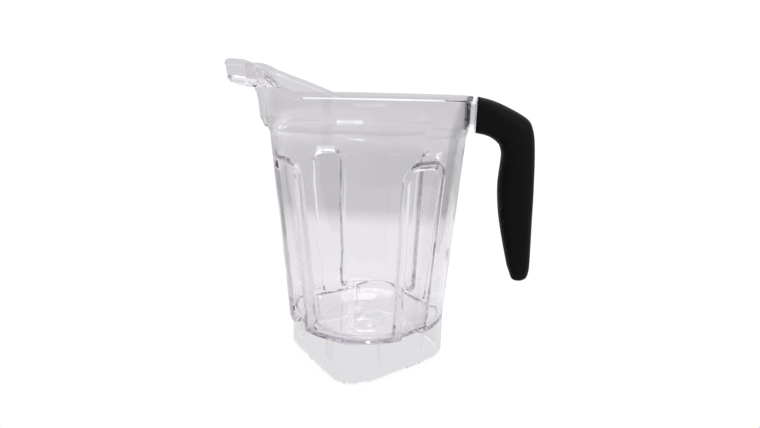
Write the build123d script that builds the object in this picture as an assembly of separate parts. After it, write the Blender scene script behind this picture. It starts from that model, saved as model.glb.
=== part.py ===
from build123d import *
import os
from math import cos, radians, sin, sqrt, tan

# Blender jar in millimetres: +Z up, foot standing on z = 0, +X towards the handle, spout towards -X.

WALL = 3.0

# Foot: a rounded square tube, turned so that its corners point to the handle and the spout
FOOT_SIDE = 108.0
FOOT_CORNER = 23.4
FOOT_HEIGHT = 33.2
FOOT_TURN = 45.0

# Body: a steep cone under a slightly wider collar
BODY_BASE_R = 66.8
BODY_TOP_R = 78.0
BODY_EDGE = 2.0
COLLAR_OUT = 2.5
COLLAR_HEIGHT = 31.0
RIM_Z = 217.0
BEAD_OUT = 1.2
BEAD_HEIGHT = 4.7
BEAD_LEAN = 0.75
BEAD_ROOT = 0.2
BEAD_LEAN_TURN = 112.0
COLLAR_R = BODY_TOP_R + COLLAR_OUT
COLLAR_Z = RIM_Z - COLLAR_HEIGHT

# Spout: a nose on the collar that leans out into a straight open channel
# Nose stations: height over the collar's foot, collar radius, reach of the nose beyond it, blend radius
SPOUT_HALF = 22.0
NOSE_STATIONS = [
    (0.0, BODY_TOP_R, 1.0, 16.0),
    (5.0, BODY_TOP_R + 0.6 * COLLAR_OUT, 7.8, 23.0),
    (12.0, COLLAR_R, 10.2, 33.0),
    (26.0, COLLAR_R, 11.7, 52.0),
    (35.0, COLLAR_R, 14.4, 68.0),
    (60.0, COLLAR_R, 21.5, 100.0),
]
NOSE_LIFT = 2.0
SPOUT_TIP_HALF = 19.5
SPOUT_TIP_X = 112.0
SPOUT_TIP_LEAN = 2.6
SPOUT_RISE = 25.3
SPOUT_FLOOR = 6.6
SPOUT_FLOOR_SLOPE = 0.115
SPOUT_BEVEL = 4.0
CHANNEL_START_X = 50.0
LIP_START_X = 96.0
RISE_START_X = 40.0
TOP_LINE_ROUND = 25.0
TIP_TOP_ROUND = 4.0
TIP_LOW_ROUND = 5.0
LIP_TRIM = 0.05
SPOUT_TOP_Z = RIM_Z + SPOUT_RISE

# Floor: a shallow bowl with a flat well and the bore for the blade shaft
FLOOR_WALL = 3.2
FLOOR_EDGE_Z = FOOT_HEIGHT + FLOOR_WALL
BOWL_R = 47.0
BOWL_DROP = 4.0
WELL_R = 36.0
WELL_DROP = 10.4
FLOOR_BEVEL = 4.0
BORE_R = 11.0
BOSS_R = 17.0
BOSS_DROP = 5.3
BOWL_Z = FLOOR_EDGE_Z - BOWL_DROP
WELL_Z = FLOOR_EDGE_Z - WELL_DROP

# Flutes: four arched recesses over the flat sides of the foot, deeper and narrower towards the foot
FLUTE_ANGLES = [45, 135, 225, 315]
FLUTE_FOOT_DEPTH = 9.4
FLUTE_TOP_DEPTH = 5.7
FLUTE_TOP_DROP = 21.0
FLUTE_HALF_FOOT = 10.4
FLUTE_HALF_TOP = 15.2
FLUTE_CORNER = 9.0
FLUTE_REACH = 14.0
FLUTE_FLARE = 1.8
FLUTE_RAMP = 14.0
FLUTE_TAIL = 6.0

# Ribs inside the foot
RIB_OFFSET = 22.0
RIB_THICK = 1.6
RIB_DEPTH = 4.5
RIB_Z = 10.0

# Handle: a short clear stub, then a grip that turns down around an elbow and tapers to its tip
STUB = 5.5
SHOULDER = 2.2
NECK_INSET = 2.2
MOUTH_HALF_WIDTH = 11.5
ELBOW_OUT = 3.3
ELBOW_DROP = 44.5
ELBOW_R = 28.8
ELBOW_START = 13.0
GRIP_HALF_DEPTH = 13.4
GRIP_HALF_WIDTH = 12.6
# Leg stations: drop below the elbow's centre, shift outwards, half depth, half width
LEG_STATIONS = [
    (0.0, 0.0, GRIP_HALF_DEPTH, GRIP_HALF_WIDTH),
    (31.0, 0.7, 13.8, 12.9),
    (50.5, 1.9, 13.4, 12.7),
    (67.5, 4.1, 11.8, 12.0),
    (96.5, 8.1, 8.2, 9.4),
    (100.5, 8.4, 6.9, 8.2),
    (103.0, 8.2, 4.2, 5.4),
]
TANG_STATIONS = 4
GRIP_ROUND = 8.0
FULL_ROUND = 0.95
GRIP_WALL = 4.0
GRIP_FIT = 0.2
MOUTH_X = COLLAR_R + STUB
ELBOW_X = MOUTH_X + ELBOW_OUT
ELBOW_Z = RIM_Z - ELBOW_DROP
MOUTH_Z = ELBOW_Z + ELBOW_R / cos(radians(ELBOW_START)) + ELBOW_OUT * tan(radians(ELBOW_START))

LOW = (Align.CENTER, Align.CENTER, Align.MIN)
CLEAR = 20.0


def polygon(points, rounds):
    """Face through the points, with the named corners rounded."""
    face = make_face(Polyline(*points, close=True))
    for index, radius in rounds.items():
        corner = face.vertices().sort_by_distance(Vector(*points[index]))[0]
        face = fillet(corner, radius)
    return face


def side_profile(points, rounds):
    """Outline in the mirror plane carried right across the jar."""
    return extrude(Plane.XZ * polygon(points, rounds), COLLAR_R + CLEAR, both=True)


def spout_plan(ring, reach, blend, inset):
    """Collar circle, nose circle and the blends between them, seen from above."""
    middle = Vector(SPOUT_HALF - ring - reach, 0)
    ring = ring - inset
    nose = SPOUT_HALF - inset
    blend = blend + inset
    x = ((ring + blend) ** 2 - (nose + blend) ** 2 + middle.X ** 2) / (2 * middle.X)
    centre = Vector(x, sqrt((ring + blend) ** 2 - x ** 2))
    on_ring = centre * (ring / (ring + blend))
    on_nose = middle + (centre - middle) * (nose / (nose + blend))
    between = centre + ((on_ring + on_nose) / 2 - centre).normalized() * blend
    flip = [Vector(v.X, -v.Y) for v in (on_ring, between, on_nose)]
    return make_face([
        ThreePointArc(on_ring, (ring, 0), flip[0]),
        ThreePointArc(flip[0], flip[1], flip[2]),
        ThreePointArc(flip[2], middle - Vector(nose, 0), on_nose),
        ThreePointArc(on_nose, between, on_ring),
    ])


def collar_block(inset):
    """Collar with the nose growing out of it."""
    plans = [Pos(0, 0, COLLAR_Z + z) * spout_plan(ring, reach, blend, inset)
             for z, ring, reach, blend in NOSE_STATIONS]
    return loft(plans, ruled=True)


def channel_block(inset, tip_x):
    """Straight channel of the spout, open towards the top."""
    ends = []
    for x in (CHANNEL_START_X, tip_x):
        along = (x - CHANNEL_START_X) / (SPOUT_TIP_X - CHANNEL_START_X)
        half = SPOUT_HALF + (SPOUT_TIP_HALF - SPOUT_HALF) * along - inset
        floor_z = channel_floor(x) + inset
        height = SPOUT_TOP_Z + CLEAR - floor_z
        plane = Plane(origin=(-x, 0, floor_z + height / 2), x_dir=(0, 1, 0), z_dir=(-1, 0, 0))
        ends.append(plane * chamfer(Rectangle(2 * half, height).vertices(), SPOUT_BEVEL))
    return loft(ends, ruled=True)


def channel_floor(x):
    """Height of the spout's underside."""
    return RIM_Z + SPOUT_FLOOR - SPOUT_FLOOR_SLOPE * (SPOUT_TIP_X - x)


def flute(angle, grow):
    """Block that fills one recess, grown by the wall for the inner side."""
    a = radians(angle)
    top_z = COLLAR_Z - FLUTE_TOP_DROP
    top_r = BODY_BASE_R + (BODY_TOP_R - BODY_BASE_R) * (top_z - FOOT_HEIGHT) / (COLLAR_Z - FOOT_HEIGHT)
    foot_u = BODY_BASE_R - FLUTE_FOOT_DEPTH
    rise = Vector(top_r - FLUTE_TOP_DEPTH - foot_u, 0, top_z - FOOT_HEIGHT)
    tilt = rise.normalized()
    back = Plane(origin=(foot_u * cos(a), foot_u * sin(a), FOOT_HEIGHT), x_dir=(-sin(a), cos(a), 0),
                 z_dir=(tilt.Z * cos(a), tilt.Z * sin(a), -tilt.X)).offset(-grow)
    front = back.offset(FLUTE_REACH + grow)
    faces = []
    for plane, flare, ramp in ((back, 0, 0), (front, FLUTE_FLARE, FLUTE_RAMP)):
        low = FLUTE_HALF_FOOT + flare + grow
        high = FLUTE_HALF_TOP + flare + grow
        top = rise.length + ramp + grow
        corner = FLUTE_CORNER + grow
        outline = [(-low, -FLUTE_TAIL), (low, -FLUTE_TAIL), (high, top), (-high, top)]
        faces.append(plane * polygon(outline, {2: corner, 3: corner}))
    return loft(faces, ruled=True)


def across(x, z, lean):
    """Plane across the handle, facing along it."""
    a = radians(lean)
    return Plane(origin=(x, 0, z), x_dir=(0, 1, 0), z_dir=(cos(a), 0, -sin(a)))


def section(half_width, half_depth, inset):
    """Rounded section across the grip, or the plain bar inside it."""
    w = half_width - inset
    d = half_depth - inset
    if inset > NECK_INSET:
        return Rectangle(2 * w, 2 * d)
    return RectangleRounded(2 * w, 2 * d, min(GRIP_ROUND, FULL_ROUND * min(w, d)))


def handle(inset, legs):
    """Handle from the mouth around the elbow and down the leg."""
    a = radians(ELBOW_START)
    start_x = ELBOW_X + ELBOW_R * sin(a)
    start_z = ELBOW_Z + ELBOW_R * cos(a)
    elbow_start = across(start_x, start_z, ELBOW_START) * section(GRIP_HALF_WIDTH, GRIP_HALF_DEPTH, inset)
    mouth = across(MOUTH_X, MOUTH_Z, 0) * section(MOUTH_HALF_WIDTH, GRIP_HALF_DEPTH, inset)
    elbow = revolve(elbow_start, Axis((ELBOW_X, 0, ELBOW_Z), (0, 1, 0)), 90 - ELBOW_START)
    leg = loft([across(ELBOW_X + ELBOW_R + shift, ELBOW_Z - drop, 90) * section(half_width, half_depth, inset)
                for drop, shift, half_depth, half_width in legs], ruled=True)
    return loft([mouth, elbow_start], ruled=True) + elbow + leg


os.makedirs("parts", exist_ok=True)

# Side view of the rim and the spout, and the same line lowered for the bead
beyond_rim = COLLAR_R + CLEAR
top_line = [(beyond_rim, 0), (beyond_rim, RIM_Z), (-RISE_START_X, RIM_Z), (-LIP_START_X, SPOUT_TOP_Z)]
tip_low_x = SPOUT_TIP_X - SPOUT_TIP_LEAN
lip_line = [(-SPOUT_TIP_X, SPOUT_TOP_Z), (-tip_low_x, channel_floor(tip_low_x) - LIP_TRIM),
            (-LIP_START_X, channel_floor(LIP_START_X) - LIP_TRIM), (-LIP_START_X, 0)]
line_rounds = {2: TOP_LINE_ROUND, 3: TOP_LINE_ROUND}
below_top = side_profile(top_line + lip_line, {**line_rounds, 4: TIP_TOP_ROUND, 5: TIP_LOW_ROUND})
beyond_tip = SPOUT_TIP_X + CLEAR
below_bead = Pos(0, 0, -BEAD_HEIGHT) * side_profile(
    top_line + [(-beyond_tip, SPOUT_TOP_Z), (-beyond_tip, 0)], line_rounds)

# Outside: body with the bowl under its floor, collar and spout, bead along the top line, sloped below
bowl_step = WALL / 2
under_z = WELL_Z - FLOOR_WALL
outside = revolve(Plane.XZ * make_face(Polyline(
    (0, under_z), (WELL_R + bowl_step, under_z), (BOWL_R + bowl_step, BOWL_Z - FLOOR_WALL),
    (BODY_BASE_R - BODY_EDGE, FOOT_HEIGHT), (BODY_BASE_R, FOOT_HEIGHT + BODY_EDGE),
    (BODY_TOP_R, COLLAR_Z), (0, COLLAR_Z), close=True)), Axis.Z)
outside += (collar_block(0) + channel_block(0, beyond_tip)) & below_top
bead = ((collar_block(-BEAD_OUT) + channel_block(-BEAD_OUT, beyond_tip)) & below_top) - below_bead
lean_z = RIM_Z - BEAD_HEIGHT + BEAD_ROOT - WALL * BEAD_LEAN
under_bead = make_face(Polyline((COLLAR_R - WALL, lean_z), (COLLAR_R + CLEAR, lean_z),
                                (COLLAR_R + CLEAR, lean_z + (CLEAR + WALL) * BEAD_LEAN), close=True))
outside += bead - Rot(0, 0, -BEAD_LEAN_TURN) * revolve(Plane.XZ * under_bead, Axis.Z, 2 * BEAD_LEAN_TURN)
outside += Pos(0, 0, under_z - BOSS_DROP) * Cylinder(BOSS_R, BOSS_DROP + FLOOR_WALL, align=LOW)

# Inside
floor_r = BODY_BASE_R - WALL
inside_line = Polyline(
    (0, WELL_Z), (WELL_R, WELL_Z), (BOWL_R, BOWL_Z), (floor_r - FLOOR_BEVEL, FLOOR_EDGE_Z - FLOOR_BEVEL / 4),
    (floor_r, FLOOR_EDGE_Z + FLOOR_BEVEL / 2), (BODY_TOP_R - WALL, COLLAR_Z),
    (BODY_TOP_R - WALL, COLLAR_Z + NOSE_LIFT), (0, COLLAR_Z + NOSE_LIFT), close=True)
inside = revolve(Plane.XZ * make_face(inside_line), Axis.Z)
inside += Pos(0, 0, NOSE_LIFT) * collar_block(WALL)
inside += channel_block(WALL, beyond_tip)

# Flutes outside, matching ridges inside
for angle in FLUTE_ANGLES:
    outside -= flute(angle, 0)
    inside -= flute(angle, WALL)

# Foot, and ribs between the foot and the bowl
foot_plan = Rot(0, 0, FOOT_TURN) * RectangleRounded(FOOT_SIDE, FOOT_SIDE, FOOT_CORNER)
foot = extrude(foot_plan, FOOT_HEIGHT) - extrude(offset(foot_plan, -WALL), FOOT_HEIGHT)
ribs = []
for angle in FLUTE_ANGLES:
    for side in (-RIB_OFFSET, RIB_OFFSET):
        rib = Pos(FOOT_SIDE / 2 - WALL / 2 - RIB_DEPTH / 2, side, RIB_Z) * Box(
            RIB_DEPTH + WALL / 2, RIB_THICK, FOOT_HEIGHT - BODY_EDGE - RIB_Z, align=LOW)
        ribs.append(Rot(0, 0, angle) * rib)

# Clear stub, shoulder and tang of the handle
neck = loft([across(x, MOUTH_Z, 0) * section(MOUTH_HALF_WIDTH, GRIP_HALF_DEPTH, NECK_INSET)
             for x in (COLLAR_R - 2 * WALL, MOUTH_X - SHOULDER)], ruled=True)
shoulder = extrude(across(MOUTH_X, MOUTH_Z, 0) * section(MOUTH_HALF_WIDTH, GRIP_HALF_DEPTH, 0), -SHOULDER)
tang = handle(GRIP_WALL + GRIP_FIT, LEG_STATIONS[:TANG_STATIONS])

jar_body = outside + foot + ribs + neck
jar_body -= inside
jar_body -= Cylinder(BORE_R, FLOOR_EDGE_Z, align=LOW)
jar_body += shoulder + tang

# Soft grip: closed sleeve over the tang
handle_grip = handle(0, LEG_STATIONS) - handle(GRIP_WALL, LEG_STATIONS[:TANG_STATIONS])

export_step(jar_body, "parts/jar_body.step")
export_step(handle_grip, "parts/handle_grip.step")
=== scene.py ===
import bmesh
import bpy
import math
from mathutils import Matrix, Vector


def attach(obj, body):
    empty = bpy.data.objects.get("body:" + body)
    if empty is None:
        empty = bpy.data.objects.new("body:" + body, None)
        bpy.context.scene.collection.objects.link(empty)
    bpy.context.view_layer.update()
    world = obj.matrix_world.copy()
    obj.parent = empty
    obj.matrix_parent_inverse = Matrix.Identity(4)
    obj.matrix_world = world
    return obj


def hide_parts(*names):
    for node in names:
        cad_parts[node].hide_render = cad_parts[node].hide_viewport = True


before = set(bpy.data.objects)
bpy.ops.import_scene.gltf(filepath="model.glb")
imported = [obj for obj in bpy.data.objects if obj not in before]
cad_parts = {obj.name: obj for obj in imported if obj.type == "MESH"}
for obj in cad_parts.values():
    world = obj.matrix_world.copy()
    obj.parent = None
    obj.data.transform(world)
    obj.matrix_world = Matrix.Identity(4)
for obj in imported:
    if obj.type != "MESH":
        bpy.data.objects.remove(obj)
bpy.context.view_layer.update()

scene = bpy.context.scene

# Camera, from the photograph: it stands at about rim height, close to the jar
IMAGE_WIDTH = 760
FOCAL_PX = 467.73
SENSOR_WIDTH = 36.0
CLIP_START = 0.01
EYE_AZIMUTH = 10.775
EYE_DISTANCE = 0.38492
EYE_HEIGHT = 0.21072
YAW, PITCH, ROLL = -1.553, 13.349, 1.128

# Room as the jar sees it: colour by height, from straight down (0) to straight up (1)
ROOM = [
    (0.0, (0.55, 0.54, 0.555)),
    (0.50, (0.70, 0.69, 0.71)),
    (0.60, (0.74, 0.73, 0.75)),
    (0.70, (1.1, 1.1, 1.1)),
]
# A darker part of it, low down on the camera's left: how far a direction points that way
# where it sets in and where it is full, and the share of light left there
DARK_WAY = (-0.8, -0.6, -0.6)
DARK_SPAN = (0.1, 0.75)
DARK = 0.45
# Plain white that the camera sees around the jar
WHITE = 1.05

# Table as the jar sees it, a glowing sheet of painted light: distance behind the jar's axis and
# brightness, and its tint
TABLE_REACH = 3.0
TABLE_PAINTED_LIGHT = [
    (0.0, 0.95), (0.12, 0.95), (0.25, 0.89), (0.40, 0.89), (0.53, 0.60), (1.6, 0.60), (3.0, 0.70),
]
TABLE_TINT = (1.0, 0.99, 1.005)
# Painted shadow: it is dimmer under the foot, and clear of that painted shadow at the end of the
# span
FOOT_PAINTED_SHADOW = 0.82
FOOT_SPAN = (0.07, 0.16)
# Table as the camera sees it: partly matt near the jar, plain white at the end of the span
NEAR_WHITE = 0.84
NEAR_SPAN = (0.08, 0.40)
FLOOR_SIZE = 8.0
FLOOR_DROP = 0.0002

# Lamps: name, place, aim, size, power
LAMPS = [
    ("fill", (0.8, -1.0, 0.9), (0, 0, 0.12), (0.9, 0.5), 6.0),
    ("top", (0.15, 0.4, 1.5), (0, 0, 0.1), (1.5, 0.7), 9.0),
]
MAX_BOUNCES = 96
CLEAR_BOUNCES = 72
SHADOW_BOUNCES = 24

# Mottles: noise scale, noise detail, stops of the colour ramp
FLOOR_TINT = (3.0, 1.0, [(0.3, (0.80,) * 3), (0.7, (0.82,) * 3)])
CLEAR_TINT = (9.0, 2.0, [(0.3, (0.955, 0.950, 0.959)), (0.7, (0.972, 0.967, 0.976))])
CLEAR_ROUGHNESS = (60.0, 3.0, [(0.35, (0.01,) * 3), (0.75, (0.03,) * 3)])
GRIP_TINT = (14.0, 3.0, [(0.3, (0.0022, 0.0021, 0.0026)), (0.7, (0.0042, 0.004, 0.0047))])
GRIP_ROUGHNESS = (160.0, 2.0, [(0.3, (0.42,) * 3), (0.7, (0.54,) * 3)])
# Reliefs: noise scale, noise detail, bump strength, bump distance
CLEAR_RIPPLE = (28.0, 1.0, 0.05, 0.0006)
GRIP_GRAIN = (900.0, 2.0, 0.12, 0.0003)

# Clear plastic: it lets light through to the table, and thick places of it turn dark
CLEAR_IOR = 1.5
CLEAR_SHADOW = (0.96, 0.96, 0.97, 1.0)
THICK_COLOUR = (0.45, 0.40, 0.48, 1.0)
THICK_SHADE = 8.0
GRIP_SPECULAR = 0.065

# Edges softened by the shader: on the clear plastic only above the foot's underside
EDGE_SOFTNESS = 0.0003
EDGE_SPAN = (0.002, 0.004)
GRIP_SOFTNESS = 0.0015
EDGE_SAMPLES = 4
# Facets: corners this close are joined, and edges over this angle, in degrees, stay creases
JOIN_DISTANCE = 1e-6
SHARP_EDGE = 24.0

# Grip, in millimetres, from the jar down to the tip:
# outer edge (x, z), inner edge (x, z), half width, squareness of the section
MM_PER_M = 1000
MOUTH_X = 86.05
GRIP = [
    (MOUTH_X, 216.5, MOUTH_X, 189.5, 11.5, 3.6),
    (94.5, 214.5, 91.5, 188.5, 12.0, 3.3),
    (104.0, 211.0, 97.0, 186.5, 12.4, 3.0),
    (120.5, 202.5, 102.5, 182.5, 12.6, 2.8),
    (126.0, 197.0, 104.5, 179.5, 12.6, 2.8),
    (129.5, 184.0, 106.0, 173.0, 12.6, 2.8),
    (132.0, 149.0, 105.0, 148.0, 12.9, 2.8),
    (133.0, 122.0, 108.0, 122.0, 12.2, 2.8),
    (134.5, 84.0, 117.0, 84.0, 9.0, 2.5),
    (134.0, 77.5, 119.5, 77.5, 8.0, 2.4),
    (133.0, 74.0, 121.0, 73.5, 6.8, 2.3),
    (131.0, 72.0, 122.5, 71.5, 4.8, 2.2),
    (128.0, 70.5, 125.0, 70.5, 1.8, 2.0),
]
GRIP_STEPS = 6
GRIP_SIDES = 48
# How far the whole outside stands out from its stations
GRIP_SWELL = 0.35
# Socket in the grip, around the clear tang: a straight from the mouth, an elbow, and a leg
# with stations of drop below the elbow's centre, shift outwards, half depth, half width
ELBOW_X, ELBOW_Z, ELBOW_R = 89.35, 172.8, 28.8
ELBOW_START = math.radians(13.0)
ELBOW_TURNS = 10
LEG = [(0.0, 0.0, 9.4, 8.6), (31.0, 0.7, 9.8, 8.9), (50.5, 1.9, 9.4, 8.7), (67.5, 4.1, 7.8, 8.0)]
MOUTH_Z = (ELBOW_Z + ELBOW_R / math.cos(ELBOW_START)
           + (ELBOW_X - MOUTH_X) * math.tan(ELBOW_START))
MOUTH_WIDTH = 7.5
SOCKET_SQUARE = 14.0
# Lip of the grip over the clear shoulder: reach, half depth, half width, squareness
LIP_REACH, LIP_DEPTH, LIP_WIDTH, LIP_SQUARE = 1.05, 13.5, 11.6, 4.0


def make_camera():
    data = bpy.data.cameras.new("camera")
    data.sensor_width = SENSOR_WIDTH
    data.sensor_fit = "HORIZONTAL"
    data.lens = FOCAL_PX * SENSOR_WIDTH / IMAGE_WIDTH
    data.clip_start = CLIP_START
    cam = bpy.data.objects.new("camera", data)
    scene.collection.objects.link(cam)
    a = math.radians(EYE_AZIMUTH)
    h = a + math.radians(YAW)
    p = math.radians(PITCH)
    r = math.radians(ROLL)
    level = Vector((-math.sin(h), math.cos(h), 0))
    right = Vector((math.cos(h), math.sin(h), 0))
    forward = level * math.cos(p) - Vector((0, 0, 1)) * math.sin(p)
    up = right.cross(forward)
    rolled_right = right * math.cos(r) + up * math.sin(r)
    rolled_up = up * math.cos(r) - right * math.sin(r)
    eye = Vector((math.sin(a) * EYE_DISTANCE, -math.cos(a) * EYE_DISTANCE, EYE_HEIGHT))
    turn = Matrix((rolled_right, rolled_up, -forward)).transposed().to_4x4()
    cam.matrix_world = Matrix.Translation(eye) @ turn
    scene.camera = cam


def empty_tree(owner):
    owner.use_nodes = True
    owner.node_tree.nodes.clear()
    return owner.node_tree


def add(tree, kind, inputs=None):
    """New node, whose inputs take plain values or links from other nodes' outputs."""
    node = tree.nodes.new(kind)
    for name, value in (inputs or {}).items():
        if isinstance(value, bpy.types.NodeSocket):
            tree.links.new(value, node.inputs[name])
        else:
            node.inputs[name].default_value = value
    return node


def place(tree, kind):
    return add(tree, "ShaderNodeTexCoord").outputs[kind]


def axis(tree, vector, name):
    return add(tree, "ShaderNodeSeparateXYZ", {"Vector": vector}).outputs[name]


def remap(tree, value, span, result):
    """Value held to a span and stretched from its two ends to those of the result."""
    node = add(tree, "ShaderNodeMapRange", {
        "Value": value,
        "From Min": span[0], "From Max": span[1],
        "To Min": result[0], "To Max": result[1],
    })
    return node.outputs["Result"]


def noise(tree, where, scale, detail):
    node = add(tree, "ShaderNodeTexNoise", {"Vector": where, "Scale": scale, "Detail": detail})
    return node.outputs["Fac"]


def ramp(tree, fac, stops):
    node = add(tree, "ShaderNodeValToRGB", {"Fac": fac})
    ends = node.color_ramp.elements
    while len(ends) < len(stops):
        ends.new(0.5)
    for end, (at, colour) in zip(ends, stops):
        end.position = at
        end.color = (*colour, 1.0)
    return node.outputs["Color"]


def mottle(tree, where, look):
    scale, detail, stops = look
    return ramp(tree, noise(tree, where, scale, detail), stops)


def relief(tree, where, look, normal):
    scale, detail, strength, distance = look
    node = add(tree, "ShaderNodeBump", {
        "Height": noise(tree, where, scale, detail),
        "Strength": strength,
        "Distance": distance,
        "Normal": normal,
    })
    return node.outputs["Normal"]


def soft_edges(tree, radius):
    node = add(tree, "ShaderNodeBevel", {"Radius": radius})
    node.samples = EDGE_SAMPLES
    return node.outputs["Normal"]


def blend(tree, fac, first, second):
    return add(tree, "ShaderNodeMixShader", {0: fac, 1: first, 2: second}).outputs["Shader"]


def by_ray(tree, kind, others, this):
    """One shader for a kind of ray, and another for all the others."""
    return blend(tree, add(tree, "ShaderNodeLightPath").outputs[kind], others, this)


def clear_plastic():
    """Polished clear moulding, faintly cool, with the slow ripple of a thick wall."""
    material = bpy.data.materials.new("clear_plastic")
    tree = empty_tree(material)
    where = place(tree, "Object")
    softness = remap(tree, axis(tree, where, "Z"), EDGE_SPAN, (0.0, EDGE_SOFTNESS))
    body = add(tree, "ShaderNodeBsdfPrincipled", {
        "Transmission Weight": 1.0,
        "IOR": CLEAR_IOR,
        "Base Color": mottle(tree, where, CLEAR_TINT),
        "Roughness": mottle(tree, where, CLEAR_ROUGHNESS),
        "Normal": relief(tree, where, CLEAR_RIPPLE, soft_edges(tree, softness)),
    })
    shadow = add(tree, "ShaderNodeBsdfTransparent", {"Color": CLEAR_SHADOW})
    depth = add(tree, "ShaderNodeVolumeAbsorption", {"Color": THICK_COLOUR, "Density": THICK_SHADE})
    add(tree, "ShaderNodeOutputMaterial", {
        "Surface": by_ray(tree, "Is Shadow Ray", body.outputs["BSDF"], shadow.outputs["BSDF"]),
        "Volume": depth.outputs["Volume"],
    })
    return material


def soft_grip():
    """Matte black soft-touch moulding with a fine grain."""
    material = bpy.data.materials.new("soft_grip")
    tree = empty_tree(material)
    where = place(tree, "Object")
    body = add(tree, "ShaderNodeBsdfPrincipled", {
        "Specular IOR Level": GRIP_SPECULAR,
        "Base Color": mottle(tree, where, GRIP_TINT),
        "Roughness": mottle(tree, where, GRIP_ROUGHNESS),
        "Normal": relief(tree, where, GRIP_GRAIN, soft_edges(tree, GRIP_SOFTNESS)),
    })
    add(tree, "ShaderNodeOutputMaterial", {"Surface": body.outputs["BSDF"]})
    return material


def soft_normals():
    """Modifier tree: joins the facets' corners, and keeps only the sharp edges as creases."""
    tree = bpy.data.node_groups.new("soft_normals", "GeometryNodeTree")
    for way in ("INPUT", "OUTPUT"):
        tree.interface.new_socket("Geometry", in_out=way, socket_type="NodeSocketGeometry")
    join = add(tree, "GeometryNodeMergeByDistance", {"Distance": JOIN_DISTANCE})
    plain = add(tree, "GeometryNodeRemoveAttribute", {"Name": "custom_normal"})
    smooth = add(tree, "GeometryNodeSetShadeSmooth")
    angle = add(tree, "GeometryNodeInputMeshEdgeAngle").outputs["Unsigned Angle"]
    low = add(tree, "FunctionNodeCompare", {"A": angle, "B": math.radians(SHARP_EDGE)})
    low.operation = "LESS_THAN"
    crease = add(tree, "GeometryNodeSetShadeSmooth", {"Shade Smooth": low.outputs["Result"]})
    crease.domain = "EDGE"
    last = add(tree, "NodeGroupInput").outputs["Geometry"]
    for node in (join, plain, smooth, crease):
        tree.links.new(last, node.inputs["Geometry"])
        last = node.outputs["Geometry"]
    add(tree, "NodeGroupOutput", {"Geometry": last})
    return tree


def dress(piece, material, normals):
    """Material and smooth shading; the mesh itself stays as it is."""
    piece.data.materials.clear()
    piece.data.materials.append(material)
    piece.modifiers.new("soft_normals", "NODES").node_group = normals
    piece.modifiers.new("weighted", "WEIGHTED_NORMAL").keep_sharp = True


def curve(t, a, b, leave, arrive):
    """Cubic from a to b that sets out and arrives at the given rates."""
    share = t * t * (3 - 2 * t)
    return a + (b - a) * share + t * (1 - t) ** 2 * leave - t * t * (1 - t) * arrive


def between(rows, steps):
    """Rows with steps - 1 more in each gap, on a smooth curve through them."""
    along = [0.0]
    for a, b in zip(rows, rows[1:]):
        dx = (b[0] + b[2] - a[0] - a[2]) / 2
        dz = (b[1] + b[3] - a[1] - a[3]) / 2
        along.append(along[-1] + math.hypot(dx, dz))
    last = len(rows) - 1
    out = []
    for i in range(last):
        before, after = max(i - 1, 0), min(i + 2, last)
        gap = along[i + 1] - along[i]
        leave = gap / (along[i + 1] - along[before])
        arrive = gap / (along[after] - along[i])
        four = list(zip(rows[before], rows[i], rows[i + 1], rows[after]))
        for step in range(steps):
            t = step / steps
            out.append([curve(t, a, b, (b - z) * leave, (c - a) * arrive) for z, a, b, c in four])
    return out + [list(rows[-1])]


def swell(row, by):
    """Row with both edges and the half width moved outwards."""
    ox, oz, ix, iz, width, square = row
    long = math.hypot(ox - ix, oz - iz)
    dx, dz = (ox - ix) / long * by, (oz - iz) / long * by
    return ox + dx, oz + dz, ix - dx, iz - dz, width + by, square


def socket_rows():
    """Sections of the socket, from the mouth to its end."""
    depth, width = LEG[0][2:]
    outer, inner = ELBOW_R + depth, ELBOW_R - depth
    rows = [(MOUTH_X, MOUTH_Z + depth, MOUTH_X, MOUTH_Z - depth, MOUTH_WIDTH, SOCKET_SQUARE)]
    for turn in range(ELBOW_TURNS):
        a = ELBOW_START + (math.pi / 2 - ELBOW_START) * turn / ELBOW_TURNS
        s, c = math.sin(a), math.cos(a)
        rows.append((ELBOW_X + outer * s, ELBOW_Z + outer * c,
                     ELBOW_X + inner * s, ELBOW_Z + inner * c, width, SOCKET_SQUARE))
    for drop, shift, depth, width in LEG:
        x, z = ELBOW_X + ELBOW_R + shift, ELBOW_Z - drop
        rows.append((x + depth, z, x - depth, z, width, SOCKET_SQUARE))
    return rows


def ring(mesh, row):
    """Rounded section between the two edges, one vertex per side."""
    ox, oz, ix, iz, width, square = row
    verts = []
    for side in range(GRIP_SIDES):
        t = 2 * math.pi * side / GRIP_SIDES
        c, s = math.cos(t), math.sin(t)
        along = math.copysign(abs(c) ** (2 / square), c)
        wide = math.copysign(abs(s) ** (2 / square), s)
        x = (ox + ix + along * (ox - ix)) / 2
        z = (oz + iz + along * (oz - iz)) / 2
        verts.append(mesh.verts.new((x / MM_PER_M, wide * width / MM_PER_M, z / MM_PER_M)))
    return verts


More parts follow.
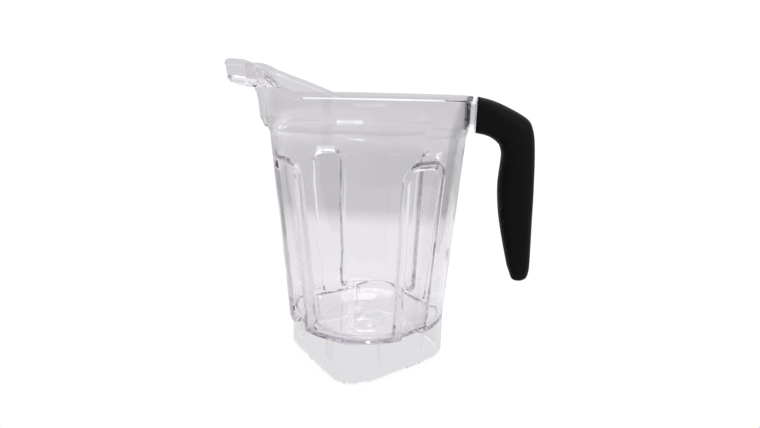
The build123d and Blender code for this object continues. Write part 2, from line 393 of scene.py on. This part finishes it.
def make_grip(material, normals):
    """Soft grip: one closed shell, from the socket's end out over the lip and on to the tip."""
    outside = [swell(row, GRIP_SWELL) for row in GRIP]
    _, top, _, low, width, square = outside[0]
    lip_x = MOUTH_X - LIP_REACH
    rows = socket_rows()[::-1]
    for x in (MOUTH_X, lip_x):
        rows.append((x, MOUTH_Z + LIP_DEPTH, x, MOUTH_Z - LIP_DEPTH, LIP_WIDTH, LIP_SQUARE))
    rows.append((lip_x, top, lip_x, low, width, square))
    mesh = bmesh.new()
    rings = [ring(mesh, row) for row in rows + between(outside, GRIP_STEPS)]
    for a, b in zip(rings, rings[1:]):
        for i in range(GRIP_SIDES):
            j = (i + 1) % GRIP_SIDES
            mesh.faces.new((a[i], a[j], b[j], b[i]))
    mesh.faces.new(rings[0])
    mesh.faces.new(reversed(rings[-1]))
    bmesh.ops.recalc_face_normals(mesh, faces=mesh.faces)
    data = bpy.data.meshes.new("grip_shell")
    mesh.to_mesh(data)
    mesh.free()
    grip = bpy.data.objects.new("grip_shell", data)
    scene.collection.objects.link(grip)
    dress(grip, material, normals)
    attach(grip, "root")
    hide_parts("handle_grip")


def make_floor():
    """Pale table: white to the eye; to the jar, a sheet glowing with painted light that fades out
    behind it, with painted shadow under the foot.
    """
    bpy.ops.mesh.primitive_plane_add(size=FLOOR_SIZE, location=(0, 0, -FLOOR_DROP))
    floor = bpy.context.object
    floor.name = "floor"
    material = bpy.data.materials.new("floor")
    tree = empty_tree(material)
    where = place(tree, "Object")
    away = add(tree, "ShaderNodeVectorMath", {0: where})
    away.operation = "LENGTH"
    distance = away.outputs["Value"]
    behind = remap(tree, axis(tree, where, "Y"), (0.0, TABLE_REACH), (0.0, 1.0))
    stops = [(y / TABLE_REACH, [light * c for c in TABLE_TINT]) for y, light in TABLE_PAINTED_LIGHT]
    # Painted light: for the jar's rays the sheet glows, brighter near the jar and dimmer far behind
    # it
    painted_sheet = add(tree, "ShaderNodeEmission", {
        "Color": ramp(tree, behind, stops),
        # Painted shadow: the sheet's glow is dimmer under the foot
        "Strength": remap(tree, distance, FOOT_SPAN, (FOOT_PAINTED_SHADOW, 1.0)),
    })
    matt = add(tree, "ShaderNodeBsdfDiffuse", {"Color": mottle(tree, where, FLOOR_TINT)})
    white = add(tree, "ShaderNodeEmission", {"Strength": WHITE})
    spread = remap(tree, distance, NEAR_SPAN, (NEAR_WHITE, 1.0))
    eye = blend(tree, spread, matt.outputs["BSDF"], white.outputs["Emission"])
    add(tree, "ShaderNodeOutputMaterial", {
        "Surface": by_ray(tree, "Is Camera Ray", painted_sheet.outputs["Emission"], eye),
    })
    floor.data.materials.append(material)


def make_world():
    """White room to the eye; to the jar, grey at eye level and bright above."""
    scene.world = bpy.data.worlds.new("studio")
    tree = empty_tree(scene.world)
    way = place(tree, "Generated")
    height = remap(tree, axis(tree, way, "Z"), (-1.0, 1.0), (0.0, 1.0))
    side = add(tree, "ShaderNodeVectorMath", {0: way, 1: DARK_WAY})
    side.operation = "DOT_PRODUCT"
    light = remap(tree, side.outputs["Value"], DARK_SPAN, (1.0, DARK))
    light.node.interpolation_type = "SMOOTHSTEP"
    room = add(tree, "ShaderNodeBackground", {"Color": ramp(tree, height, ROOM), "Strength": light})
    white = add(tree, "ShaderNodeBackground", {"Color": (1, 1, 1, 1), "Strength": WHITE})
    add(tree, "ShaderNodeOutputWorld", {
        "Surface": by_ray(tree, "Is Camera Ray", room.outputs["Background"],
                          white.outputs["Background"]),
    })


def make_lamp(name, at, aim, size, power):
    data = bpy.data.lights.new(name, "AREA")
    data.shape = "RECTANGLE"
    data.size, data.size_y = size
    data.energy = power
    light = bpy.data.objects.new(name, data)
    scene.collection.objects.link(light)
    light.location = at
    light.rotation_euler = (Vector(aim) - Vector(at)).to_track_quat("-Z", "Y").to_euler()


make_camera()
make_floor()
make_world()
for lamp in LAMPS:
    make_lamp(*lamp)
normals = soft_normals()
black = soft_grip()
dress(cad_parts["jar_body"], clear_plastic(), normals)
dress(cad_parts["handle_grip"], black, normals)
make_grip(black, normals)

scene.view_settings.view_transform = "Standard"
scene.cycles.max_bounces = MAX_BOUNCES
scene.cycles.transmission_bounces = CLEAR_BOUNCES
scene.cycles.glossy_bounces = CLEAR_BOUNCES
scene.cycles.transparent_max_bounces = SHADOW_BOUNCES
scene.cycles.denoising_input_passes = "RGB_ALBEDO"
scene.cycles.caustics_reflective = False
scene.cycles.caustics_refractive = False
